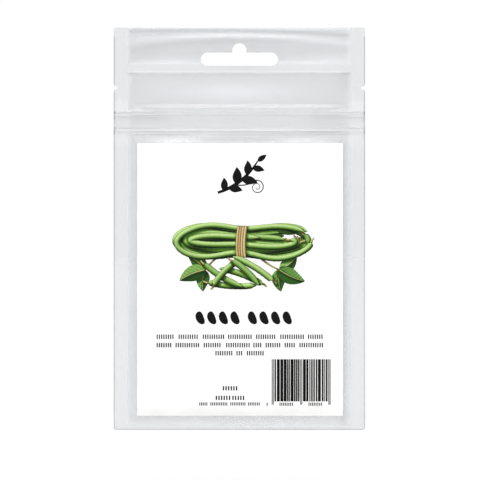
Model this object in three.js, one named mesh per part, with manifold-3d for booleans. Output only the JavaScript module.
// A resealable hanging seed packet: two webs of clear film heat-sealed round the rim, a press-to-close
// zip with two tracks, a paper label on the front, and the seeds at the bottom of the pocket.
// Millimetres, +Z up, and the label faces -Y. The origin is the top of the hang slot, where a peg bears.
import * as THREE from "three";
import { mergeVertices } from "three/addons/utils/BufferGeometryUtils.js";
import Module from "manifold-3d";

const wasm = await Module();
wasm.setup();

// The packet's outline. A drop is a distance down from the packet's top edge.
const WIDTH = 100;
const HEIGHT = 160;
const CORNER_RADIUS = 1;
const FILM = 0.12;
const WELD_CLEARANCE = 0.02;

// Heat seals. Inside them the two webs part and swell into a pocket.
const SIDE_SEAL = 5.5;
const HEADER_SEAL_DROP = 18.1;
const BOTTOM_SEAL = 5.7;
const BILLOW = 10;
const POCKET_TOP_RISE = 7;
const UPPER_HALF_DEPTH = 0.5;
const LOWER_HALF_DEPTH = 2.15;
const LOWER_SWELL_DROP = 140;
const BOTTOM_RISE = 6.3;

// The hang slot, a long slot with a round peak for the peg, and the two tear notches below it.
const SLOT_WIDTH = 30.6;
const SLOT_HEIGHT = 5.2;
const SLOT_DROP = 10;
const PEAK_WIDTH = 5.6;
const PEAK_DROP = 6.3;
const NOTCH_DROP = 24;
const NOTCH_DEPTH = 1.7;
const NOTCH_MOUTH = 1.9;

// The zip: one strip on each web, with two ribs on the front strip that snap into two channels behind.
const ZIP_DROP = 33.4;
const ZIP_HEIGHT = 9;
const ZIP_REACH = 49.3;
const ZIP_HALF_DEPTH = 0.75;
const ZIP_FLANGE = 0.2;
const TRACK_DROPS = [34.6, 40.9];
const RIDGE_FOOT = 0.7;
const RIDGE_CREST = 0.35;
const RIDGE_HEIGHT = 0.3;
// The side seals crush the zip's ends to this half depth, over this length inside each seal.
const CRUSHED_HALF_DEPTH = 0.25;
const CRUSHED_RIDGE = 0.12;
const CRUSH_LENGTH = 5;
const CRUSH_SHARE = 0.9;
const FILM_STEP = 0.6;

// The label covers the pocket from below the zip to the bottom seal.
const LABEL_WIDTH = 81.6;
const LABEL_SHIFT = 0.3;
const LABEL_DROP = 46.1;
const PAPER = 0.12;

// About a gram of kidney-shaped seeds, lying flat between the webs where they fell.
const SEED_COUNT = 12;
const SEED_LENGTH = 9.4;
const SEED_WIDTH = 5.2;
const SEED_THICKNESS = 3.3;
const SEED_BEND = 1.3;
const SEED_GAP = 0.15;
const SEED_TILT = 1.1;
const PILE_HALF_WIDTH = 31;
const PILE_FLOOR_DROP = 151.6;
const PILE_CEILING_DROP = 120;
const PLACES_TRIED = 24;
const FALL_STEP = 0.05;
const SEED_DRAW = 11;
// Places along a seed, from -1 to 1, of the discs that stand in for it as it falls.
const DISC_PLACES = [-0.75, -0.4, 0, 0.4, 0.75];

const HALF_WIDTH = WIDTH / 2;
const HALF_INSIDE = HALF_WIDTH - SIDE_SEAL;
const BOTTOM_SEAL_DROP = HEIGHT - BOTTOM_SEAL;
const LABEL_LEFT = LABEL_SHIFT - LABEL_WIDTH / 2;
const LABEL_RIGHT = LABEL_SHIFT + LABEL_WIDTH / 2;
const ZIP_BOTTOM_DROP = ZIP_DROP + ZIP_HEIGHT;
const ZIP_FREE = HALF_INSIDE - CRUSH_LENGTH;
const OVERSIZE = 1;
const MERGE_DISTANCE = 1e-4;

const heightAt = (drop) => PEAK_DROP - drop;
const dropAt = (z) => PEAK_DROP - z;
const clamp01 = (t) => Math.min(Math.max(t, 0), 1);
const quarterSine = (t) => Math.sin((clamp01(t) * Math.PI) / 2);
const ease = (t) => (1 - Math.cos(clamp01(t) * Math.PI)) / 2;

// A linear congruential generator, so that the seeds lie the same way in every build.
function seededRandom(seed) {
  const factor = 1664525;
  const step = 1013904223;
  const range = 2 ** 32;
  let state = seed;
  return () => {
    state = (state * factor + step) % range;
    return state / range;
  };
}

// Linear interpolation through [position, value] points in rising order, level beyond them.
function along(points, position) {
  const next = points.findIndex(([at]) => at >= position);
  if (next < 0) return points.at(-1)[1];
  if (next === 0) return points[0][1];
  const [[a, from], [b, to]] = [points[next - 1], points[next]];
  return THREE.MathUtils.lerp(from, to, (position - a) / (b - a));
}

// How far the zip is crushed at x, from 0 in the free middle to 1 in the side seals.
const crushAt = (x) => ease((Math.abs(x) - ZIP_FREE) / CRUSH_LENGTH);

// The outer face of a zip strip as [drop, half depth] points: flat, with one ridge over each track.
function zipFace(halfDepth, ridge) {
  const ridges = TRACK_DROPS.flatMap((track) => [
    [track - RIDGE_FOOT, halfDepth],
    [track - RIDGE_CREST, halfDepth + ridge],
    [track + RIDGE_CREST, halfDepth + ridge],
    [track + RIDGE_FOOT, halfDepth],
  ]);
  return [[ZIP_DROP, halfDepth], ...ridges, [ZIP_BOTTOM_DROP, halfDepth]];
}

const FREE_ZIP_FACE = zipFace(ZIP_HALF_DEPTH, RIDGE_HEIGHT);
const CRUSHED_ZIP_FACE = zipFace(CRUSHED_HALF_DEPTH, CRUSHED_RIDGE);

function zipFaceAt(x, drop) {
  return THREE.MathUtils.lerp(along(FREE_ZIP_FACE, drop), along(CRUSHED_ZIP_FACE, drop), crushAt(x));
}

// Half the gap between the webs in the middle of the packet at a drop.
function swellAt(drop) {
  if (drop <= HEADER_SEAL_DROP || drop >= BOTTOM_SEAL_DROP) return 0;
  const fullDrop = HEADER_SEAL_DROP + POCKET_TOP_RISE;
  if (drop < fullDrop) return UPPER_HALF_DEPTH * quarterSine((drop - HEADER_SEAL_DROP) / POCKET_TOP_RISE);
  if (drop < ZIP_DROP) {
    const share = ease((drop - fullDrop) / (ZIP_DROP - fullDrop));
    return THREE.MathUtils.lerp(UPPER_HALF_DEPTH, ZIP_HALF_DEPTH, share);
  }
  const share = ease((drop - ZIP_BOTTOM_DROP) / (LOWER_SWELL_DROP - ZIP_BOTTOM_DROP));
  const lower = THREE.MathUtils.lerp(ZIP_HALF_DEPTH, LOWER_HALF_DEPTH, share);
  return lower * quarterSine((BOTTOM_SEAL_DROP - drop) / BOTTOM_RISE);
}

// Half the gap between the webs: the pocket, or the zip where it stands out further.
function halfGap(x, drop) {
  const pocket = swellAt(drop) * quarterSine((HALF_INSIDE - Math.abs(x)) / BILLOW);
  const onZip = drop >= ZIP_DROP && drop <= ZIP_BOTTOM_DROP && Math.abs(x) <= ZIP_REACH;
  return onZip ? Math.max(pocket, zipFaceAt(x, drop) + WELD_CLEARANCE) : pocket;
}

// Columns and rows that every sheet shares, so that sheets which lie on each other have the same facets.
function columns() {
  const rise = [0.75, 1.6, 3.4, CRUSH_LENGTH, 7, BILLOW].map((inset) => HALF_INSIDE - inset);
  const half = [12, 24, ...rise, HALF_INSIDE, ZIP_REACH, ZIP_REACH + FILM_STEP, HALF_WIDTH + OVERSIZE];
  return [...half.map((x) => -x), 0, ...half, LABEL_LEFT, LABEL_RIGHT].sort((a, b) => a - b);
}

// The rows are drops, from the bottom up.
function rows() {
  const header = [-OVERSIZE, HEADER_SEAL_DROP, 19.2, 21, 23.5, 26, 29.5, ZIP_DROP - FILM_STEP];
  const tracks = TRACK_DROPS.flatMap((track) =>
    [-RIDGE_FOOT, -RIDGE_CREST, RIDGE_CREST, RIDGE_FOOT].map((offset) => track + offset),
  );
  const pocket = [54, 64, 76, 88, 100, 112, 122, 131, 138, 143, 147, 149.5, 151.5, 153.2];
  const drops = [
    ...header,
    ZIP_DROP,
    ...tracks,
    ZIP_BOTTOM_DROP,
    ZIP_BOTTOM_DROP + FILM_STEP,
    LABEL_DROP,
    ...pocket,
    BOTTOM_SEAL_DROP,
    HEIGHT + OVERSIZE,
  ];
  return drops.sort((a, b) => b - a);
}

// A closed sheet over a grid of x and drop, between the surfaces y = low(x, drop) and y = high(x, drop).
function sheetGeometry(xs, drops, low, high) {
  const positions = [];
  const faces = [];
  const near = (i, j) => 2 * (i * drops.length + j);
  const far = (i, j) => near(i, j) + 1;
  for (const x of xs) {
    for (const drop of drops) {
      positions.push(x, low(x, drop), heightAt(drop));
      positions.push(x, high(x, drop), heightAt(drop));
    }
  }
  const quad = (a, b, c, d) => faces.push(a, b, c, a, c, d);
  const lastColumn = xs.length - 1;
  const lastRow = drops.length - 1;
  for (let i = 0; i < lastColumn; i++) {
    for (let j = 0; j < lastRow; j++) {
      quad(near(i, j), near(i + 1, j), near(i + 1, j + 1), near(i, j + 1));
      const [e, f, g, h] = [far(i, j), far(i + 1, j), far(i + 1, j + 1), far(i, j + 1)];
      faces.push(e, g, f, e, h, g);
    }
    quad(near(i, 0), far(i, 0), far(i + 1, 0), near(i + 1, 0));
    quad(near(i, lastRow), near(i + 1, lastRow), far(i + 1, lastRow), far(i, lastRow));
  }
  for (let j = 0; j < lastRow; j++) {
    quad(near(0, j), near(0, j + 1), far(0, j + 1), far(0, j));
    quad(near(lastColumn, j), far(lastColumn, j), far(lastColumn, j + 1), near(lastColumn, j + 1));
  }
  const geometry = new THREE.BufferGeometry();
  geometry.setAttribute("position", new THREE.Float32BufferAttribute(positions, 3));
  geometry.setIndex(faces);
  return geometry;
}

function solidFrom(geometry) {
  const bare = geometry.clone();
  bare.deleteAttribute("normal");
  bare.deleteAttribute("uv");
  const merged = mergeVertices(bare, MERGE_DISTANCE);
  return new wasm.Manifold(
    new wasm.Mesh({
      numProp: 3,
      vertProperties: merged.attributes.position.array,
      triVerts: new Uint32Array(merged.index.array),
    }),
  );
}

function geometryFrom(solid) {
  const mesh = solid.getMesh();
  const geometry = new THREE.BufferGeometry();
  geometry.setAttribute("position", new THREE.BufferAttribute(mesh.vertProperties, 3));
  geometry.setIndex(new THREE.BufferAttribute(mesh.triVerts, 1));
  return geometry;
}

// The hang slot as a hole in the outline.
function slotPath() {
  const end = SLOT_HEIGHT / 2;
  const middle = heightAt(SLOT_DROP) - end;
  const reach = SLOT_WIDTH / 2 - end;
  const peak = PEAK_WIDTH / 2;
  const path = new THREE.Path();
  path.moveTo(-reach, middle + end);
  path.lineTo(-peak, middle + end);
  path.absarc(0, -peak, peak, Math.PI, 0, true);
  path.lineTo(peak, middle + end);
  path.absarc(reach, middle, end, Math.PI / 2, -Math.PI / 2, true);
  path.absarc(-reach, middle, end, -Math.PI / 2, Math.PI / 2, true);
  return path;
}

// The packet's outline in x and z, with its rounded corners, tear notches and hang slot.
function outlineShape() {
  const [top, bottom, notch] = [0, HEIGHT, NOTCH_DROP].map(heightAt);
  const inX = HALF_WIDTH - CORNER_RADIUS;
  const shape = new THREE.Shape();
  shape.moveTo(-inX, bottom);
  shape.absarc(inX, bottom + CORNER_RADIUS, CORNER_RADIUS, -Math.PI / 2, 0);
  shape.lineTo(HALF_WIDTH, notch - NOTCH_MOUTH / 2);
  shape.quadraticCurveTo(HALF_WIDTH - 2 * NOTCH_DEPTH, notch, HALF_WIDTH, notch + NOTCH_MOUTH / 2);
  shape.absarc(inX, top - CORNER_RADIUS, CORNER_RADIUS, 0, Math.PI / 2);
  shape.absarc(-inX, top - CORNER_RADIUS, CORNER_RADIUS, Math.PI / 2, Math.PI);
  shape.lineTo(-HALF_WIDTH, notch + NOTCH_MOUTH / 2);
  shape.quadraticCurveTo(-HALF_WIDTH + 2 * NOTCH_DEPTH, notch, -HALF_WIDTH, notch - NOTCH_MOUTH / 2);
  shape.absarc(-inX, bottom + CORNER_RADIUS, CORNER_RADIUS, Math.PI, 1.5 * Math.PI);
  shape.holes.push(slotPath());
  return shape;
}

// A block of the outline, deep enough to trim either web.
function outlineBlock() {
  const depth = 4 * LOWER_HALF_DEPTH;
  const block = new THREE.ExtrudeGeometry(outlineShape(), { depth, bevelEnabled: false, curveSegments: 8 });
  block.rotateX(Math.PI / 2);
  block.translate(0, depth / 2, 0);
  return solidFrom(block);
}

// One web of film. Side is -1 for the front and 1 for the back.
function filmGeometry(side) {
  const inner = (x, drop) => side * halfGap(x, drop);
  const outer = (x, drop) => side * (halfGap(x, drop) + FILM);
  const [low, high] = side < 0 ? [outer, inner] : [inner, outer];
  const web = solidFrom(sheetGeometry(columns(), rows(), low, high));
  return geometryFrom(web.intersect(outlineBlock()));
}

function labelGeometry() {
  const xs = columns().filter((x) => x >= LABEL_LEFT && x <= LABEL_RIGHT);
  const drops = rows().filter((drop) => drop >= LABEL_DROP && drop <= BOTTOM_SEAL_DROP);
  const back = (x, drop) => -(halfGap(x, drop) + FILM + WELD_CLEARANCE);
  return sheetGeometry(xs, drops, (x, drop) => back(x, drop) - PAPER, back);
}

// The front strip's rib at a track: a stem with an arrow head. Points are [y, height above the track].
const RIB = [
  [-0.55, -0.15],
  [-0.05, -0.15],
  [-0.05, -0.35],
  [0.35, -0.1],
  [0.35, 0.1],
  [-0.05, 0.35],
  [-0.05, 0.15],
  [-0.55, 0.15],
];
// The back strip's channel at a track: two jaws whose lips reach behind the arrow head.
const JAWS = [
  [0.55, -0.75],
  [-0.38, -0.62],
  [-0.3, -0.24],
  [-0.12, -0.21],
  [-0.12, -0.42],
  [0.55, -0.42],
  [0.55, 0.42],
  [-0.12, 0.42],
  [-0.12, 0.21],
  [-0.3, 0.24],
  [-0.38, 0.62],
  [0.55, 0.75],
];

// A zip strip's section in y and z: the ridged outer face one way, and the ribs or jaws the other.
function stripShape(side, teeth) {
  const inset = side * (ZIP_HALF_DEPTH - ZIP_FLANGE);
  const rising = [...TRACK_DROPS].sort((a, b) => b - a);
  const inner = rising.flatMap((track) => teeth.map(([y, up]) => new THREE.Vector2(y, heightAt(track) + up)));
  return new THREE.Shape([
    ...FREE_ZIP_FACE.map(([drop, y]) => new THREE.Vector2(side * y, heightAt(drop))),
    new THREE.Vector2(inset, heightAt(ZIP_BOTTOM_DROP)),
    ...inner,
    new THREE.Vector2(inset, heightAt(ZIP_DROP)),
  ]);
}

// A zip strip: its section run from side to side, with the ends crushed flat in the side seals.
function stripGeometry(side, teeth) {
  const stations = columns().filter((x) => Math.abs(x) <= ZIP_REACH && Math.abs(x) >= ZIP_FREE);
  const steps = stations.length - 1;
  const run = { depth: steps, steps, bevelEnabled: false };
  const strip = new THREE.ExtrudeGeometry(stripShape(side, teeth), run);
  const points = strip.attributes.position;
  const tolerance = 1e-6;
  for (let i = 0; i < points.count; i++) {
    const x = stations[Math.round(points.getZ(i))];
    const [y, z] = [points.getX(i), points.getY(i)];
    const onFace = side * y >= ZIP_HALF_DEPTH - tolerance;
    const crushed = onFace ? side * zipFaceAt(x, dropAt(z)) : y * (1 - CRUSH_SHARE * crushAt(x));
    points.setXYZ(i, x, crushed, z);
  }
  return strip;
}

// A kidney-shaped seed: length along x, thickness along y, and its hollow side down.
function seedGeometry() {
  const seed = new THREE.SphereGeometry(1, 12, 8);
  const points = seed.attributes.position;
  for (let i = 0; i < points.count; i++) {
    const [across, lengthwise, through] = [points.getX(i), points.getY(i), points.getZ(i)];
    const up = (across * SEED_WIDTH) / 2 + bendAt(lengthwise);
    points.setXYZ(i, (lengthwise * SEED_LENGTH) / 2, (through * SEED_THICKNESS) / 2, up);
  }
  return seed;
}

// How far the seed's middle line stands up at a place along it, from -1 to 1.
function bendAt(lengthwise) {
  return SEED_BEND * (0.5 - lengthwise * lengthwise);
}

// Discs that cover a seed, as {x, z, radius}, for a seed at a place and a turn about Y.
function seedDiscs(x, z, turn) {
  return DISC_PLACES.map((lengthwise) => {
    const [along, up] = [(lengthwise * SEED_LENGTH) / 2, bendAt(lengthwise)];
    return {
      x: x + along * Math.cos(turn) + up * Math.sin(turn),
      z: z - along * Math.sin(turn) + up * Math.cos(turn),
      radius: (SEED_WIDTH / 2) * Math.sqrt(1 - lengthwise * lengthwise) + SEED_GAP,
    };
  });
}

// Whether a seed's discs meet the bottom of the pocket or a seed that already lies there.
function seedMeets(discs, fallen) {
  const floor = heightAt(PILE_FLOOR_DROP);
  if (discs.some((disc) => disc.z - disc.radius < floor)) return true;
  const touches = (a, b) => Math.hypot(a.x - b.x, a.z - b.z) < a.radius + b.radius;
  return fallen.some((other) => discs.some((a) => other.discs.some((b) => touches(a, b))));
}

// Lets the seeds fall one by one. Each takes the lowest of a few places that it could fall to.
function fallenSeeds(random) {
  const fallen = [];
  for (let i = 0; i < SEED_COUNT; i++) {
    let best = null;
    for (let tried = 0; tried < PLACES_TRIED; tried++) {
      const x = PILE_HALF_WIDTH * (2 * random() - 1);
      const turn = SEED_TILT * (2 * random() - 1) + (random() < 0.5 ? Math.PI : 0);
      let z = heightAt(PILE_CEILING_DROP);
      while (!seedMeets(seedDiscs(x, z - FALL_STEP, turn), fallen)) z -= FALL_STEP;
      if (!best || z < best.z) best = { x, z, turn, discs: seedDiscs(x, z, turn) };
    }
    fallen.push(best);
  }
  return fallen;
}

const looks = {
  film: new THREE.MeshStandardMaterial({
    color: 0xe3e5e7,
    roughness: 0.22,
    metalness: 0,
    transparent: true,
    opacity: 0.55,
  }),
  zip: new THREE.MeshStandardMaterial({ color: 0xe8eaeb, roughness: 0.35, metalness: 0 }),
  paper: new THREE.MeshStandardMaterial({ color: 0xfdfdfd, roughness: 0.55, metalness: 0 }),
  seed: new THREE.MeshStandardMaterial({ color: 0x6e3322, roughness: 0.45, metalness: 0 }),
};

function part(name, geometry, material) {
  const mesh = new THREE.Mesh(geometry, material);
  mesh.name = name;
  return mesh;
}

function pouch() {
  const group = new THREE.Group();
  group.add(
    part("film_front", filmGeometry(-1), looks.film),
    part("film_back", filmGeometry(1), looks.film),
  );
  return group;
}

function zip() {
  const group = new THREE.Group();
  group.add(
    part("zip_ribs", stripGeometry(-1, RIB), looks.zip),
    part("zip_channels", stripGeometry(1, JAWS), looks.zip),
  );
  return group;
}

function seeds() {
  const group = new THREE.Group();
  fallenSeeds(seededRandom(SEED_DRAW)).forEach(({ x, z, turn }, i) => {
    const seed = part(`seed_${String(i + 1).padStart(2, "0")}`, seedGeometry(), looks.seed);
    seed.position.set(x, 0, z);
    seed.rotation.y = turn;
    group.add(seed);
  });
  return group;
}

const packet = new THREE.Group();
packet.add(pouch(), zip(), part("label", labelGeometry(), looks.paper), seeds());

export default packet;
